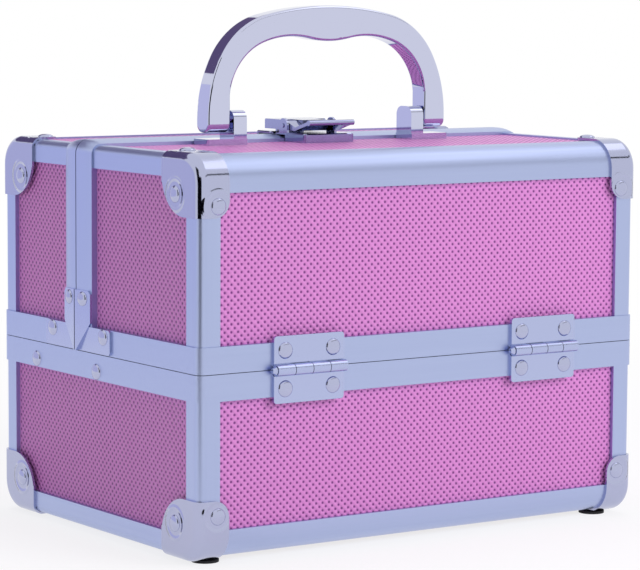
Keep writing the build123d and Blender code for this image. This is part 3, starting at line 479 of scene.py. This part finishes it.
# ---- Light ----
# White surroundings and soft lamps. Cards stand round the set, seen by mirrors alone: black
# ones give bright metal its dark edges, a dim one behind darkens the upper rounds, a grey one
# calms the end faces, and a bright one draws the streak along the top rail.
LOOK_AT = Vector((0, 0, 0.09))
ROOM_TINT = "#E4DFF6"
ROOM_STRENGTH = 0.42
CARD_BLACK = "#08060C"
CARD_DIM = "#6A5C80"
CARD_GREY = "#C8C8E0"
world = bpy.data.worlds.new("studio")
scene.world = world
world.use_nodes = True
room = world.node_tree
dim = room.nodes["Background"]
dim.inputs["Color"].default_value = linear(ROOM_TINT)
dim.inputs["Strength"].default_value = ROOM_STRENGTH
white = add_node(room, "ShaderNodeBackground", {"Color": linear(WHITE), "Strength": 1.0})
choice = {0: seen_rays(room), 1: dim.outputs[0], 2: white.outputs[0]}
choose = add_node(room, "ShaderNodeMixShader", links=choice)
room.links.new(choose.outputs[0], room.nodes["World Output"].inputs["Surface"])


def softbox(name, place, size, power, tint):
    """A rectangular area lamp that looks at the middle of the case and shows in no mirror."""
    lamp = bpy.data.lights.new(name, "AREA")
    lamp.shape = "RECTANGLE"
    lamp.size, lamp.size_y = size
    lamp.energy = power
    lamp.color = linear(tint)[:3]
    stand = bpy.data.objects.new(name, lamp)
    stand.location = place
    stand.rotation_euler = (LOOK_AT - Vector(place)).to_track_quat("-Z", "Y").to_euler()
    stand.visible_glossy = False
    scene.collection.objects.link(stand)


softbox("front_softbox", place=(0.55, -1.25, 0.75), size=(0.9, 0.9), power=13.0, tint="#FFF8FF")
softbox("left_softbox", place=(-1.3, -0.2, 0.55), size=(0.6, 0.9), power=1.0, tint="#EEE8FF")
softbox("top_softbox", place=(0.1, 0.2, 1.4), size=(1.2, 1.2), power=9.0, tint=WHITE)


def card(name, colour, place, size, strength=1.0):
    """A card of even brightness that faces the middle of the case and shows in mirrors alone."""
    clear_selection()
    bpy.ops.mesh.primitive_plane_add(size=1.0)
    sheet = bpy.context.object
    sheet.name = name
    turn = (LOOK_AT - Vector(place)).to_track_quat("Z", "Y").to_matrix().to_4x4()
    stretch = Matrix.Diagonal((size[0], size[1], 1.0, 1.0))
    sheet.data.transform(Matrix.Translation(place) @ turn @ stretch)
    paper, tree, _, _ = start_material(name + "_paper", colour, MATT_PAPER)
    glow = add_node(tree, "ShaderNodeEmission", {"Color": linear(colour), "Strength": strength})
    tree.links.new(glow.outputs[0], tree.nodes["Material Output"].inputs["Surface"])
    sheet.data.materials.append(paper)
    sheet.visible_camera = False
    sheet.visible_diffuse = False
    sheet.visible_shadow = False


card("black_card_left", CARD_BLACK, place=(-0.56, -0.35, 0.19), size=(0.42, 0.38))
card("dim_card_behind", CARD_DIM, place=(-0.2, 1.88, 1.35), size=(2.4, 0.9))
card("black_card_upper_left", CARD_BLACK, place=(-0.95, -0.35, 0.72), size=(0.42, 0.5))
card("black_strip_right", CARD_BLACK, place=(1.28, -1.54, 1.28), size=(2.2, 0.16))
card("grey_card_left", CARD_GREY, place=(-0.55, 0.52, 0.19), size=(1.0, 0.38), strength=1.3)
card("bright_card_high", WHITE, place=(1.25, -0.3, 1.9), size=(1.8, 0.6), strength=1.7)

# ---- Camera ----
# Where the photograph was taken from: low, well to the left of the long face, and far off.
AZIMUTH = math.radians(-34.319)
ELEVATION = math.radians(5.965)
ROLL = math.radians(0.323)
CAMERA_PLACE = (-0.75416, -1.1067, 0.24742)
FOCAL_LENGTH = 161.185
SENSOR_WIDTH = 36.0
back = Vector(
    (
        math.sin(AZIMUTH) * math.cos(ELEVATION),
        -math.cos(AZIMUTH) * math.cos(ELEVATION),
        math.sin(ELEVATION),
    )
)
right = Vector((math.cos(AZIMUTH), math.sin(AZIMUTH), 0))
up = back.cross(right)
camera_x = right * math.cos(ROLL) + up * math.sin(ROLL)
camera_y = up * math.cos(ROLL) - right * math.sin(ROLL)
turn = Matrix((camera_x, camera_y, back)).transposed().to_4x4()
lens = bpy.data.cameras.new("photo_camera")
lens.lens = FOCAL_LENGTH
lens.sensor_width = SENSOR_WIDTH
camera = bpy.data.objects.new("photo_camera", lens)
camera.matrix_world = Matrix.Translation(CAMERA_PLACE) @ turn
scene.collection.objects.link(camera)
scene.camera = camera
scene.view_settings.view_transform = "Standard"
